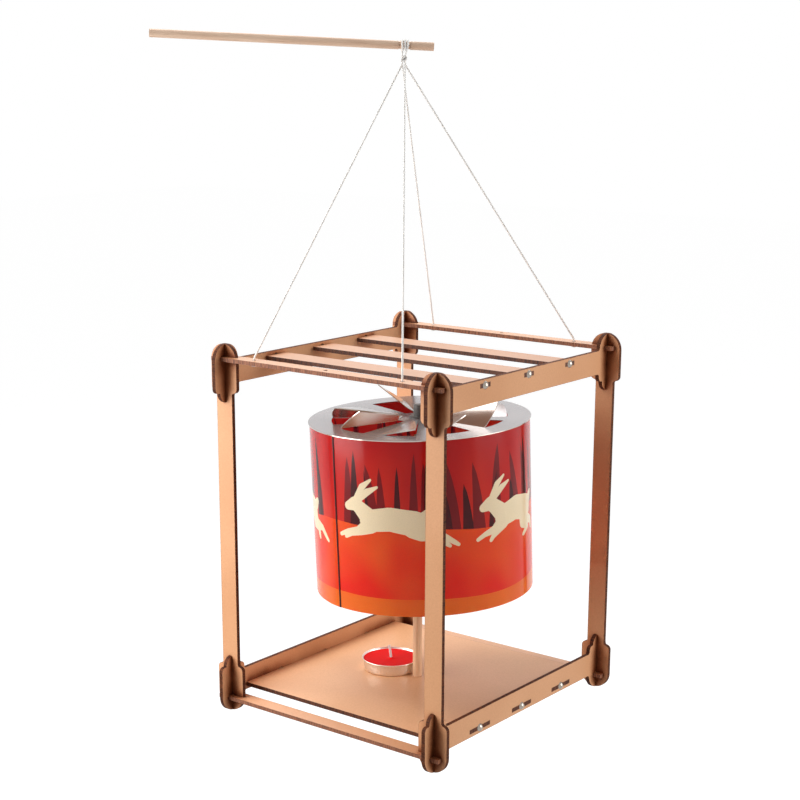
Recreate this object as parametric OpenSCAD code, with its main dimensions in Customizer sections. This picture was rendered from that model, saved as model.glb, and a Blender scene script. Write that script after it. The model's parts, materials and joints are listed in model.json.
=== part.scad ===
// Candle-driven zoetrope lantern: a slotted hardboard frame, a picture drum that turns on a
// needle under a foil turbine, a tealight, and a carrying stick that it hangs from by strings.
// Millimetres, +Z up. The origin is on the axis of the stick, in the middle of its grip.

/* [Board] */
// Thickness of the hardboard
board = 2.5; // [2:0.1:3.2]
// Play between a slot and the board in it, on each side
slot_play = 0.05; // [0.02:0.01:0.15]

/* [Frame] */
// Width between the middles of the left and right side beams
frame_w = 160; // [152:1:200]
// Depth between the middles of the front and back posts
frame_d = 180; // [172:1:220]
// Height of the posts from tip to tip
frame_h = 236; // [228:1:280]
// Width of a post and of a beam's nose
post_w = 12.5; // [10:0.5:15]
// Width of the round heads of posts and beams
head_w = 20.5; // [19:0.5:24]
// Length of a head from its round tip to its shoulder
head_l = 30; // [28:0.5:36]
// Radius of a head's shoulders
shoulder_r = 3; // [1:0.5:4]
// Radius in the inner corners of the outlines
neck_r = 1.5; // [0.5:0.25:2]
// Height of a side beam
beam_h = 15; // [13:0.5:17]
// Distance from a head's tip to the outer edge of its beam
beam_in = 10; // [8:0.5:11]
// Width of the flat bars
bar_w = 10; // [8:0.5:14]
// Distance from a head's tip to the middle of the flat bar
bar_in = 9; // [7:0.5:11]
// How far the flat bars stand out past the side beams
bar_over = 5.5; // [4:0.25:14]

/* [Roof and floor] */
// Distance from a head's tip to the middle of the slats or the floor
deck_in = 13.5; // [12.5:0.5:16]
// Distance between two neighbouring tabs of the roof or the floor
tab_pitch = 45; // [38:1:55]
// Width of a roof slat
slat_w = 18; // [14:1:24]
// Width of a slat's tab
slat_tab = 10; // [8:0.5:13]
// Depth of the floor plate
floor_d = 156; // [140:1:158]
// Width of a tab of the floor plate
floor_tab = 21; // [14:1:26]

/* [Tab pins] */
// Diameter of a pin's round head
pin_head_d = 5; // [4.6:0.1:6]
// Height of a pin's round head
pin_head_h = 1.6; // [1:0.1:2]
// Diameter of a pin's shank
pin_d = 1.2; // [0.8:0.1:1.6]
// Length of a pin's shank
pin_l = 12; // [8:0.5:16]
// Diameter of the round hole in the middle of a tab's slot
relief_d = 4.2; // [3.2:0.1:4.4]
// Play around a pin's shank
pin_play = 0.03; // [0.01:0.01:0.08]

/* [Pole and needle] */
// Diameter of the wooden centre pole
pole_d = 6; // [5:0.5:8]
// Height of the pole's top above the floor plate
pole_h = 160; // [140:1:164]
// Diameter of the steel needle
needle_d = 1.6; // [1.2:0.1:2]
// Length of the needle inside the pole
needle_in = 14; // [8:1:20]
// Length of the needle's point
point_l = 4; // [2:0.5:6]
// Play around the pole and around the needle's seat
pole_play = 0.03; // [0.01:0.01:0.08]

/* [Drum] */
// Outer diameter of the picture drum
drum_d = 138; // [120:1:140]
// Height of the drum's film
drum_h = 108; // [80:1:110]
// Distance from the floor plate to the top of the drum
drum_top = 171.5; // [165:0.5:178]
// Thickness of the film
film = 0.5; // [0.3:0.1:0.8]
// Width of the glued lap where the film's ends meet
lap_w = 9; // [5:1:14]
// Direction of the lap round the drum
lap_heading = -105; // [-180:1:180]
// How far the drum hangs out of true on its needle
drum_lean = 2.2; // [0:0.1:3]
// Direction that the bottom of the drum hangs to
lean_heading = 38; // [-180:1:180]

/* [Turbine] */
// Thickness of the foil
foil = 0.5; // [0.3:0.1:0.8]
// How far the foil disc stands past the film
disc_over = 0.7; // [0:0.1:1.5]
// Number of vanes
vane_count = 10; // [6:1:12]
// Angle that one vane takes up
vane_sweep = 24; // [16:1:26]
// Angle that the vanes are bent up by, on average
vane_bend = 24; // [15:1:36]
// How much the hand-bent vanes differ from that, in a pattern of three
vane_uneven = 15; // [0:1:15]
// Radius of the vanes' inner ends
vane_r_in = 15; // [13:0.5:20]
// Width of the plain rim outside the vanes
rim_w = 14; // [10:0.5:20]
// Play between a vane's ends and its window
vane_play = 0.4; // [0.2:0.1:1]
// Direction of the first vane's fold
vane_heading = 137; // [-180:1:180]

/* [Bearing cup] */
// Diameter of the bearing cup
cup_d = 7; // [6:0.5:9]
// Height of the cup above the foil disc
cup_up = 8; // [7.5:0.25:9]
// Depth of the cup below the foil disc
cup_down = 3; // [2:0.5:5]
// Diameter of the cup's bore
cup_bore_d = 3.2; // [2.8:0.1:4]
// Thickness of the cup's top above the needle's point
cup_roof = 2.4; // [1.5:0.1:3]
// Diameter of the cup's flange
flange_d = 12; // [10:0.5:16]
// Thickness of the cup's flange
flange_t = 0.8; // [0.5:0.1:1.2]
// Clearance between the needle's point and the cup
point_gap = 0.06; // [0.02:0.01:0.1]

/* [Tealight] */
// Outer diameter of the tealight at its rim
candle_d = 38; // [36:0.5:40]
// Height of the tealight's cup
candle_h = 8; // [7:0.5:18]
// Thickness of the cup's metal
candle_wall = 0.4; // [0.3:0.1:0.6]
// Draft of the cup, as the difference of its radii
candle_draft = 0.9; // [0.4:0.1:1.5]
// How far the rolled rim stands out
candle_rim = 0.5; // [0.3:0.1:0.8]
// Height of the rolled rim
candle_rim_h = 0.8; // [0.5:0.1:1.2]
// Distance from the rim down to the wax
wax_down = 1.4; // [0.8:0.1:3]
// Diameter of the wick
wick_d = 1.2; // [0.8:0.1:1.8]
// Length of the wick above the wax
wick_up = 6; // [3:0.5:10]
// Diameter of the wick's metal foot
foot_d = 12; // [8:0.5:16]
// Height of the wick's metal foot
foot_h = 3; // [2:0.25:4]
// Distance from the pole's surface to the tealight's rim
candle_gap = 0.4; // [0.3:0.1:20]
// Direction of the tealight from the pole
candle_heading = 178; // [140:1:220]
// Play between the wax and what it holds
wax_play = 0.03; // [0.01:0.01:0.08]

/* [Stick] */
// Diameter of the carrying stick
stick_d = 5; // [4:0.5:8]
// Length of the carrying stick
stick_l = 168; // [140:1:400]
// Distance from the stick's end to the middle of the string's seat
seat_in = 17.5; // [12:0.5:40]
// Width of the shallow groove that keeps the string in place
seat_w = 7; // [6.5:0.5:10]
// Depth of that groove
seat_depth = 0.3; // [0.2:0.05:0.5]
// Direction of the stick, seen from above
stick_heading = 40; // [0:1:90]
// Angle that the stick dips towards the string
stick_dip = 2.7; // [0:0.1:10]
// Height of the stick's axis above the tips of the posts
stick_rise = 174.8; // [150:0.2:300]
// Distance along the stick from the string to above the frame's middle
stick_off = 10; // [0:0.5:15]

/* [Strings] */
// Diameter of the string
string_d = 1.2; // [0.8:0.1:1.4]
// Distance of the string holes from the middle of a bar
hole_x = 56; // [40:1:62]
// Diameter of the string holes
hole_d = 2.4; // [2:0.1:3]
// Pitch of the loops round the stick
loop_pitch = 1.7; // [1.7:0.05:2]
// Gap between the loops and the stick's groove
loop_gap = 0.3; // [0.2:0.05:0.5]
// Drop from the stick's axis to the knot
knot_drop = 6; // [6:0.1:10]
// Diameter of the knot under the stick
knot_d = 4.2; // [4:0.1:6]
// Height of the knot under the stick
knot_h = 3.6; // [3:0.1:6]
// Diameter of the knots under the bars
stop_d = 3.4; // [3.2:0.1:5]
// Height of the knots under the bars
stop_h = 2; // [1.6:0.1:5]
// How much a knot swells from its flat ends to its middle, as a share of its radius
knot_swell = 0.2; // [0.1:0.05:0.4]

/* [Hidden] */
$fn = 96;

LEFT = -1;
RIGHT = 1;
FRONT = -1;
BACK = 1;
// Length that a cut runs on past the face it opens
over = 1;

wood = "#dca880";
char_wood = "#c99468";
string_colour = "#e8e2d4";

// Slots, laps and levels of the frame
slot_w = board + 2 * slot_play;
nose_tip = head_l + post_w / 2;
lap_l = nose_tip / 2;
beam_out = frame_w / 2 + board / 2;
bar_end = beam_out + bar_over;
fork_x = frame_w / 2 - head_w / 2 - slot_play;
top_bar_z = frame_h - bar_in;
deck_z = deck_in + board / 2;

// Pole, needle and drum
pole_top = deck_z + pole_h;
disc_z = deck_z + drum_top;
point_z = disc_z + cup_up - cup_roof;
disc_r = drum_d / 2 + disc_over;
vane_r_out = drum_d / 2 - rim_w;
lap_sweep = lap_w / (PI * drum_d) * 360;

// Tealight
candle_x = (pole_d / 2 + candle_gap + candle_d / 2) * cos(candle_heading);
candle_y = (pole_d / 2 + candle_gap + candle_d / 2) * sin(candle_heading);
cup_top_r = candle_d / 2 - candle_rim;
cup_base_r = cup_top_r - candle_draft;
wax_z = candle_h - wax_down;

// Directions of the stick: along it, level across it, and up from it
along = [cos(stick_dip) * cos(stick_heading), cos(stick_dip) * sin(stick_heading), -sin(stick_dip)];
across = [-sin(stick_heading), cos(stick_heading), 0];
upward = cross(along, across);
grip_l = stick_l - seat_in - seat_w / 2;
seat = (stick_l - seat_in - grip_l / 2) * along;
// Place of the frame's own origin, on the ground in the middle of its four posts
hang = seat + [stick_off * cos(stick_heading), stick_off * sin(stick_heading), -frame_h - stick_rise];

// String loops
loop_r = stick_d / 2 - seat_depth + loop_gap + string_d / 2;
loop_turns = 2.5;
loop_rings = 24;
loop_sides = 6;
string_sides = 8;
// Places of the string ends on the knot under the stick
knot_spot = 0.8;
knot_base = knot_drop + knot_h;

function unit(v) = v / norm(v);
function from_seat(p) = seat + p.x * along + p.y * across + p.z * upward;
function from_frame(p) = hang + p;

// Direction of a route at one of its points
function heading_at(route, i) =
    unit(route[min(i + 1, len(route) - 1)] - route[max(i - 1, 0)]);

// One ring of a tube, square to the route; reference is never along the route
function ring(p, heading, reference, r, sides) =
    let (a = unit(cross(heading, reference)), b = cross(heading, a))
    [for (k = [0 : sides - 1]) p + r * (cos(360 * k / sides) * a + sin(360 * k / sides) * b)];

function tube_points(route, reference, r, sides) = [
    for (i = [0 : len(route) - 1])
        for (p = ring(route[i], heading_at(route, i), reference, r, sides)) p
];

function tube_faces(rings, sides) = concat(
    [for (i = [0 : rings - 2]) for (k = [0 : sides - 1])
        [i * sides + k, (i + 1) * sides + (k + 1) % sides, i * sides + (k + 1) % sides]],
    [for (i = [0 : rings - 2]) for (k = [0 : sides - 1])
        [i * sides + k, (i + 1) * sides + k, (i + 1) * sides + (k + 1) % sides]],
    [for (k = [1 : sides - 2]) [0, k, k + 1]],
    [for (k = [1 : sides - 2]) [(rings - 1) * sides, (rings - 1) * sides + k + 1, (rings - 1) * sides + k]]
);

// Least gap between the turns of a tube, measured on its middle line
function least_gap(route, skip, d) = min([
    for (i = [0 : len(route) - 1 - skip]) for (j = [i + skip : len(route) - 1]) norm(route[i] - route[j])
]) - d;

// Route of the string round the stick: up from the knot, the loops, and down to the knot again
function winding_loops() = [
    for (i = [0 : loop_turns * loop_rings])
        let (turn = i / loop_rings, s = (turn - loop_turns / 2) * loop_pitch)
        from_seat([s, loop_r * cos(360 * turn), loop_r * sin(360 * turn)])
];
function winding_tail(side) = [
    from_seat([side * knot_spot, -side * knot_spot, -knot_drop]),
    from_seat([side * knot_spot, -side * knot_spot, string_d - knot_drop])
];
winding_route = concat(winding_tail(-1), winding_loops(), [for (i = [1, 0]) winding_tail(1)[i]]);

// Route of one string: out of the knot, straight to its bar, and down through the hole
function string_route(side, end) =
    let (
        top = from_seat([side * knot_spot, end * knot_spot, -knot_base]),
        lead = from_seat([side * knot_spot, end * knot_spot, -knot_base - string_d]),
        hole = from_frame([side * hole_x, end * frame_d / 2, top_bar_z + board / 2 + string_d]),
        foot = from_frame([side * hole_x, end * frame_d / 2, top_bar_z - board / 2])
    )
    [top, lead, lead + (hole - lead) / 3, lead + (hole - lead) * 2 / 3, hole, foot];

echo(least_gap_of_winding = least_gap(winding_route, loop_rings / 2, string_d));

module on_frame() translate(hang) children();

module on_drum() on_frame()
    translate([0, 0, point_z])
        rotate(a = drum_lean, v = [sin(lean_heading), -cos(lean_heading), 0])
            translate([0, 0, -point_z])
                children();

module on_candle() on_frame() translate([candle_x, candle_y, deck_z]) children();

module on_stick(p) translate(p) rotate([0, stick_dip, stick_heading]) children();

// Boards cut from flat outlines, in the three planes of the frame
module upright_board(y) translate([0, y, 0]) rotate([90, 0, 0]) linear_extrude(board, center = true) children();
module side_board(x) translate([x, 0, 0]) rotate([90, 0, 90]) linear_extrude(board, center = true) children();
module level_board(z) translate([0, 0, z]) linear_extrude(board, center = true) children();

// Filled inner corner between +X and +Y, let into both sides
module corner_fill(r) difference() {
    translate([-over, -over]) square(r + over);
    translate([r, r]) circle(r);
}

// Round head with its tip at the origin, pointing up
module head_outline() {
    translate([0, -head_w / 2]) circle(d = head_w);
    translate([-head_w / 2, shoulder_r - head_l]) square([head_w, head_l - shoulder_r - head_w / 2]);
    translate([shoulder_r - head_w / 2, -head_l]) square([head_w - 2 * shoulder_r, head_l - head_w / 2]);
    for (side = [LEFT, RIGHT])
        translate([side * (head_w / 2 - shoulder_r), shoulder_r - head_l]) circle(shoulder_r);
}

module post_head() {
    head_outline();
    for (side = [0, 1])
        mirror([side, 0]) translate([post_w / 2, -head_l]) mirror([0, 1]) corner_fill(neck_r);
}

module both_ends() {
    translate([0, frame_h]) children();
    mirror([0, 1]) children();
}

// Post: a strip with a head at each end, slotted from the tips for the side beams
module post_outline() difference() {
    union() {
        translate([-post_w / 2, head_w / 2]) square([post_w, frame_h - head_w]);
        both_ends() post_head();
    }
    both_ends() translate([-slot_w / 2, -lap_l]) square([slot_w, lap_l + over]);
}

module post(side, end, tone)
    color(tone) on_frame() translate([side * frame_w / 2, 0, 0]) upright_board(end * frame_d / 2) post_outline();

// Head of a beam: the post's head with a round nose, filled where the beam runs in at its left
module beam_head() {
    head_outline();
    translate([0, -head_l]) circle(d = post_w);
    for (edge = [0, 1])
        translate([-head_w / 2, -beam_in - edge * beam_h]) mirror([1, 0]) mirror([0, edge]) corner_fill(neck_r);
}

// Side beam with its heads' tips on the X axis, pointing up
module beam_outline(tab_w) difference() {
    union() {
        translate([-frame_d / 2, -beam_in - beam_h]) square([frame_d, beam_h]);
        for (end = [0, 1]) mirror([end, 0]) translate([frame_d / 2, 0]) beam_head();
    }
    for (end = [FRONT, BACK]) translate([end * frame_d / 2, 0]) {
        translate([-slot_w / 2, -nose_tip - over]) square([slot_w, nose_tip - lap_l + over]);
        translate([0, -bar_in]) square([bar_w + 2 * slot_play, slot_w], center = true);
    }
    for (row = [-1 : 1]) translate([row * tab_pitch, -deck_in]) {
        square([tab_w + 2 * slot_play, slot_w], center = true);
        circle(d = relief_d);
    }
}

module top_beam(side)
    color(wood) on_frame() side_board(side * frame_w / 2) translate([0, frame_h]) beam_outline(slat_tab);

module base_beam(side)
    color(wood) on_frame() side_board(side * frame_w / 2) mirror([0, 1]) beam_outline(floor_tab);

// Flat bar: forked ends that straddle the post heads and pass through the beams
module bar_outline() difference() {
    square([2 * bar_end, bar_w], center = true);
    for (side = [0, 1])
        mirror([side, 0]) translate([fork_x, -slot_w / 2]) square([bar_end - fork_x + over, slot_w]);
}

module base_bar(end)
    color(char_wood) on_frame() level_board(bar_in) translate([0, end * frame_d / 2]) bar_outline();

module top_bar(end)
    color(char_wood) on_frame() level_board(top_bar_z) translate([0, end * frame_d / 2]) difference() {
        bar_outline();
        for (i = [-1 : 1]) translate([i * hole_x, 0]) circle(d = hole_d);
    }

// Places a pin's axis on both ends of one tab row, pointing out of the beams
module at_tab(side, row, z)
    translate([side * beam_out, row * tab_pitch, z]) rotate([0, side * 90, 0]) children();

module pin_hole() translate([0, 0, -pin_l - pin_play])
    cylinder(d = pin_d + 2 * pin_play, h = pin_l + pin_play + over);

module roof_slat(row) color(wood) on_frame() difference() {
    level_board(frame_h - deck_in) translate([0, row * tab_pitch]) {
        square([frame_w - board, slat_w], center = true);
        square([frame_w + board, slat_tab], center = true);
    }
    for (side = [LEFT, RIGHT]) at_tab(side, row, frame_h - deck_in) pin_hole();
}

module floor_plate() color(wood) on_frame() difference() {
    level_board(deck_in) {
        square([frame_w - board, floor_d], center = true);
        for (row = [-1 : 1])
            translate([0, row * tab_pitch]) square([frame_w + board, floor_tab], center = true);
    }
    for (side = [LEFT, RIGHT]) for (row = [-1 : 1]) at_tab(side, row, deck_in) pin_hole();
    cylinder(d = pole_d + 2 * pole_play, h = deck_z + over);
}

// Pin with a domed head, its shank down the -Z axis
module tab_pin() {
    dome_r = (pow(pin_head_h, 2) + pow(pin_head_d / 2, 2)) / (2 * pin_head_h);
    rotate_extrude() intersection() {
        translate([0, pin_head_h - dome_r]) circle(dome_r);
        square([pin_head_d / 2, pin_head_h]);
    }
    translate([0, 0, -pin_l]) cylinder(d = pin_d, h = pin_l + pin_head_h / 2);
}

module tab_pins(side, z)
    color("silver") on_frame() for (row = [-1 : 1]) at_tab(side, row, z) tab_pin();

module centre_pole() color("#e0b890") on_frame() difference() {
    translate([0, 0, deck_z - board]) cylinder(d = pole_d, h = pole_top - deck_z + board);
    translate([0, 0, pole_top - needle_in - pole_play])
        cylinder(d = needle_d + 2 * pole_play, h = needle_in + pole_play + over);
}

module needle() color("silver") on_frame() rotate_extrude() polygon([
    [0, pole_top - needle_in],
    [needle_d / 2, pole_top - needle_in],
    [needle_d / 2, point_z - point_l],
    [0, point_z]
]);

// Film rolled into a tube, with the lap where its two ends are glued
module drum_film() color("#d83a22") on_drum() translate([0, 0, disc_z - foil - drum_h]) {
    rotate_extrude() translate([drum_d / 2 - film, 0]) square([film, drum_h]);
    rotate([0, 0, lap_heading - lap_sweep / 2])
        rotate_extrude(angle = lap_sweep) translate([drum_d / 2 - film / 2, 0]) square([film, drum_h]);
}

// One vane with its fold on the X axis, and the crease that joins it to the disc
module vane(bend) translate([0, 0, foil / 2]) {
    rotate([bend, 0, 0]) translate([0, 0, -foil / 2])
        rotate_extrude(angle = vane_sweep)
            translate([vane_r_in + vane_play, 0])
                square([vane_r_out - vane_r_in - 2 * vane_play, foil]);
    rotate([bend / 2, 0, 0]) translate([vane_r_in + 2 * vane_play, -foil, -foil / 2])
        cube([vane_r_out - vane_r_in - 4 * vane_play, 2 * foil, foil]);
}

// Foil disc with its vanes cut free on three sides and bent up
module turbine_disc() color("#b4b6be") on_drum() translate([0, 0, disc_z - foil]) {
    difference() {
        cylinder(r = disc_r, h = foil);
        translate([0, 0, -over]) cylinder(d = cup_d + 2 * pole_play, h = foil + 2 * over);
        for (i = [0 : vane_count - 1]) rotate([0, 0, vane_heading + i * 360 / vane_count])
            translate([0, 0, -over]) rotate_extrude(angle = vane_sweep)
                translate([vane_r_in, 0]) square([vane_r_out - vane_r_in, foil + 2 * over]);
    }
    for (i = [0 : vane_count - 1]) rotate([0, 0, vane_heading + i * 360 / vane_count])
        vane(vane_bend + vane_uneven * cos(120 * i + 40));
}

// Cup that rides on the needle's point, with a flange on the foil disc
module bearing_cup() color("#3c3a38") on_drum() rotate_extrude() difference() {
    union() {
        translate([0, disc_z - foil - cup_down]) square([cup_d / 2, foil + cup_down + cup_up - cup_d / 4]);
        translate([0, disc_z + cup_up - cup_d / 4]) intersection() {
            scale(cup_d / 2) circle(1);
            square([cup_d / 2, cup_d / 4]);
        }
        translate([0, disc_z]) square([flange_d / 2, flange_t]);
    }
    polygon([
        [-over, disc_z - foil - cup_down - over],
        [cup_bore_d / 2, disc_z - foil - cup_down - over],
        [cup_bore_d / 2, point_z + point_gap - point_l],
        [0, point_z + point_gap],
        [-over, point_z + point_gap]
    ]);
}

module candle_cup() color("#d6d2cc") on_candle() rotate_extrude() difference() {
    union() {
        polygon([[0, 0], [cup_base_r, 0], [cup_top_r, candle_h], [0, candle_h]]);
        translate([cup_top_r - candle_wall, candle_h - candle_rim_h])
            square([candle_wall + candle_rim, candle_rim_h]);
    }
    polygon([
        [-over, candle_wall],
        [cup_base_r - candle_wall, candle_wall],
        [cup_top_r - candle_wall, candle_h],
        [cup_top_r - candle_wall, candle_h + over],
        [-over, candle_h + over]
    ]);
}

// Inner radius of the cup at a height
function cup_inside(z) = cup_base_r - candle_wall + candle_draft * (z - candle_wall) / (candle_h - candle_wall);

// Foot of the wick: a thin disc with a crimped tube
module wick_foot_solid(play) rotate_extrude() {
    square([foot_d / 2 + play, candle_wall + play]);
    square([wick_d + play, foot_h + play]);
}

module wick_foot() color("silver") on_candle() difference() {
    translate([0, 0, candle_wall]) wick_foot_solid(0);
    translate([0, 0, 2 * candle_wall]) cylinder(d = wick_d + 2 * wax_play, h = foot_h + over);
}

module candle_wick() color("#e8c8b8") on_candle()
    translate([0, 0, 2 * candle_wall]) cylinder(d = wick_d, h = wax_z + wick_up - 2 * candle_wall);

module candle_wax() color("#d8242c") on_candle() difference() {
    rotate_extrude() polygon([
        [0, candle_wall],
        [cup_inside(candle_wall) - wax_play, candle_wall],
        [cup_inside(wax_z) - wax_play, wax_z],
        [0, wax_z]
    ]);
    translate([0, 0, candle_wall - over]) cylinder(d = foot_d + 2 * wax_play, h = over);
    translate([0, 0, candle_wall]) wick_foot_solid(wax_play);
    cylinder(d = wick_d + 2 * wax_play, h = candle_h + over);
}

// Stick with a shallow groove for the string, its grip centred on the origin
module carrying_stick() color("#d2a882") on_stick([0, 0, 0]) rotate([0, 90, 0]) difference() {
    translate([0, 0, -grip_l / 2]) cylinder(d = stick_d, h = stick_l);
    translate([0, 0, grip_l / 2]) difference() {
        cylinder(d = stick_d + over, h = seat_w);
        translate([0, 0, -over]) cylinder(d = stick_d - 2 * seat_depth, h = seat_w + 2 * over);
    }
}

module stick_winding() color(string_colour)
    polyhedron(tube_points(winding_route, along, string_d / 2, loop_sides),
        tube_faces(len(winding_route), loop_sides));

// Barrel-shaped knot with flat ends, hanging down from the origin
module knot(d, h) {
    swell = knot_swell * d / 2;
    arc_r = (pow(h / 2, 2) + pow(swell, 2)) / (2 * swell);
    translate([0, 0, -h]) rotate_extrude() intersection() {
        translate([d / 2 - arc_r, h / 2]) circle(arc_r);
        square([d / 2, h]);
    }
}

module gather_knot()
    color(string_colour) on_stick(seat) translate([0, 0, -knot_drop]) knot(knot_d, knot_h);

module string(side, end) color(string_colour) {
    route = string_route(side, end);
    polyhedron(tube_points(route, along, string_d / 2, string_sides), tube_faces(len(route), string_sides));
}

module stopper_knots() color(string_colour) on_frame()
    for (side = [LEFT, RIGHT]) for (end = [FRONT, BACK])
        translate([side * hole_x, end * frame_d / 2, top_bar_z - board / 2]) knot(stop_d, stop_h);

carrying_stick();
stick_winding();
gather_knot();
string(LEFT, FRONT);  // string_front_left
string(RIGHT, FRONT);  // string_front_right
string(LEFT, BACK);  // string_back_left
string(RIGHT, BACK);  // string_back_right
stopper_knots();
post(LEFT, FRONT, wood);  // post_front_left
post(RIGHT, FRONT, wood);  // post_front_right
post(LEFT, BACK, wood);  // post_back_left
post(RIGHT, BACK, wood);  // post_back_right
top_beam(LEFT);  // top_beam_left
top_beam(RIGHT);  // top_beam_right
base_beam(LEFT);  // base_beam_left
base_beam(RIGHT);  // base_beam_right
top_bar(FRONT);  // top_bar_front
top_bar(BACK);  // top_bar_back
base_bar(FRONT);  // base_bar_front
base_bar(BACK);  // base_bar_back
roof_slat(-1);  // roof_slat_front
roof_slat(0);  // roof_slat_middle
roof_slat(1);  // roof_slat_back
floor_plate();
tab_pins(LEFT, frame_h - deck_in);  // top_pins_left
tab_pins(RIGHT, frame_h - deck_in);  // top_pins_right
tab_pins(LEFT, deck_in);  // base_pins_left
tab_pins(RIGHT, deck_in);  // base_pins_right
centre_pole();
needle();
drum_film();
turbine_disc();
bearing_cup();
candle_cup();
candle_wax();
candle_wick();
wick_foot();
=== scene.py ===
import json
import math

import bpy
import numpy as np
from mathutils import Matrix, Vector
from mathutils.geometry import delaunay_2d_cdt


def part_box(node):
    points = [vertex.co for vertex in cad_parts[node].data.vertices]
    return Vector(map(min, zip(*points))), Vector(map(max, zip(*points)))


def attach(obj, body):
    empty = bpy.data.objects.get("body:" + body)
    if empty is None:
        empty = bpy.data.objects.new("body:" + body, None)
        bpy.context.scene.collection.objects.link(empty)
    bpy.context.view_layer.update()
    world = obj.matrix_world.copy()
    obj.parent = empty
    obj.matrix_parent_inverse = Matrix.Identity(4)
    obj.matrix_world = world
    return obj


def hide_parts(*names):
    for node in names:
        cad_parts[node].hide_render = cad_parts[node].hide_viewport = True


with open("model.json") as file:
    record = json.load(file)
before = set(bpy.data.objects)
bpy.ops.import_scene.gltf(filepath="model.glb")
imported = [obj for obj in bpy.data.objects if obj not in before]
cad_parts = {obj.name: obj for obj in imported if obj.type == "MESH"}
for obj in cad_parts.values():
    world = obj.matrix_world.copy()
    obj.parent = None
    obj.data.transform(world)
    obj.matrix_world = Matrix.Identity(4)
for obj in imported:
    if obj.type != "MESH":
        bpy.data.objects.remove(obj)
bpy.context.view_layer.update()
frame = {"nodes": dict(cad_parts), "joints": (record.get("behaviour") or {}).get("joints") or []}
NODES = frame["nodes"]
JOINTS = {joint["name"]: joint for joint in frame["joints"]}

# Sizes are in millimetres; those times MM are in metres
MM = 0.001

# Places from the frame: the strings' seat on the stick, the lantern's ground, the tealight and the drum
SEAT = Vector(JOINTS["lantern_swing"]["pos_m"])
ALONG = Vector(JOINTS["lantern_swing"]["axis"]).normalized()
ACROSS = Vector((0, 0, 1)).cross(ALONG).normalized()
UPWARD = ALONG.cross(ACROSS)
FLOOR_LOW, FLOOR_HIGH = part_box("floor_plate")
POST_LOW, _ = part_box("post_front_left")
GROUND = Vector(((FLOOR_LOW.x + FLOOR_HIGH.x) / 2, (FLOOR_LOW.y + FLOOR_HIGH.y) / 2, POST_LOW.z))
CUP_LOW, CUP_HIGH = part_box("candle_cup")
CANDLE = Vector(((CUP_LOW.x + CUP_HIGH.x) / 2, (CUP_LOW.y + CUP_HIGH.y) / 2, CUP_LOW.z))
SPIN = Vector(JOINTS["drum_spin"]["axis"]).normalized()
DRUM = Matrix.Translation(JOINTS["drum_spin"]["pos_m"]) @ (
    Vector((0, 0, 1)).rotation_difference(SPIN).to_matrix().to_4x4())


def srgb(red, green, blue):
    """A colour as seen on screen, 0 to 255, as the linear colour that a shader takes."""
    def linear(c):
        c /= 255
        return c / 12.92 if c <= 0.04045 else ((c + 0.055) / 1.055) ** 2.4
    return (linear(red), linear(green), linear(blue), 1.0)


# Camera, at the place it had in the photograph, in millimetres from the lantern's ground

CAMERA_AT = Vector((622.16, -826.05, 400.02)) * MM
CAMERA_DOWN = 14.37
CAMERA_HEADING = 38.44
IMAGE_W = 800
FOCAL_PX = 1686
MIDDLE_PX = (377.0, 495.9)
SENSOR_MM = 36


def make_camera():
    data = bpy.data.cameras.new("camera")
    data.sensor_width = SENSOR_MM
    data.lens = SENSOR_MM * FOCAL_PX / IMAGE_W
    data.shift_x = (IMAGE_W / 2 - MIDDLE_PX[0]) / IMAGE_W
    data.shift_y = (MIDDLE_PX[1] - IMAGE_W / 2) / IMAGE_W
    camera = bpy.data.objects.new("camera", data)
    camera.location = GROUND + CAMERA_AT
    camera.rotation_euler = (math.radians(90 - CAMERA_DOWN), 0, math.radians(CAMERA_HEADING))
    bpy.context.scene.collection.objects.link(camera)
    bpy.context.scene.camera = camera


# Short names for building node trees

def node(tree, kind, inputs=None, **settings):
    """A new node; inputs are values or sockets to link from."""
    made = tree.nodes.new(kind)
    for key, value in settings.items():
        setattr(made, key, value)
    for key, value in (inputs or {}).items():
        if isinstance(value, bpy.types.NodeSocket):
            tree.links.new(value, made.inputs[key])
        else:
            made.inputs[key].default_value = value
    return made


def math_node(tree, operation, a, b=0.0, clamp=False):
    return node(tree, "ShaderNodeMath", {0: a, 1: b}, operation=operation, use_clamp=clamp).outputs[0]


def mix_colour(tree, share, a, b):
    made = node(tree, "ShaderNodeMix", data_type="RGBA")
    for socket, value in zip((made.inputs[0], made.inputs[6], made.inputs[7]), (share, a, b)):
        if isinstance(value, bpy.types.NodeSocket):
            tree.links.new(value, socket)
        else:
            socket.default_value = value
    return made.outputs[2]


def noise(tree, vector, scale, detail=3.0, roughness=0.55):
    made = node(tree, "ShaderNodeTexNoise", {"Scale": scale, "Detail": detail, "Roughness": roughness})
    tree.links.new(vector, made.inputs["Vector"])
    return made.outputs[0]


def spread(tree, value, low, high, to_low=0.0, to_high=1.0):
    """Maps low..high to to_low..to_high, held at the ends."""
    return node(tree, "ShaderNodeMapRange", {0: value, 1: low, 2: high, 3: to_low, 4: to_high}).outputs[0]


def stretch(tree, vector, scale):
    return node(tree, "ShaderNodeMapping", {"Vector": vector, "Scale": scale}).outputs[0]


def bump(tree, height, strength, distance):
    made = node(tree, "ShaderNodeBump", {"Height": height, "Strength": strength, "Distance": distance})
    return made.outputs[0]


def new_material(name, **constants):
    """A material with one Principled shader; constants are its sockets by name, _ for a space."""
    material = bpy.data.materials.new(name)
    material.use_nodes = True
    tree = material.node_tree
    shader = tree.nodes["Principled BSDF"]
    for key, value in constants.items():
        shader.inputs[key.replace("_", " ")].default_value = value
    coords = tree.nodes.new("ShaderNodeTexCoord")
    return material, tree, shader, coords


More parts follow.
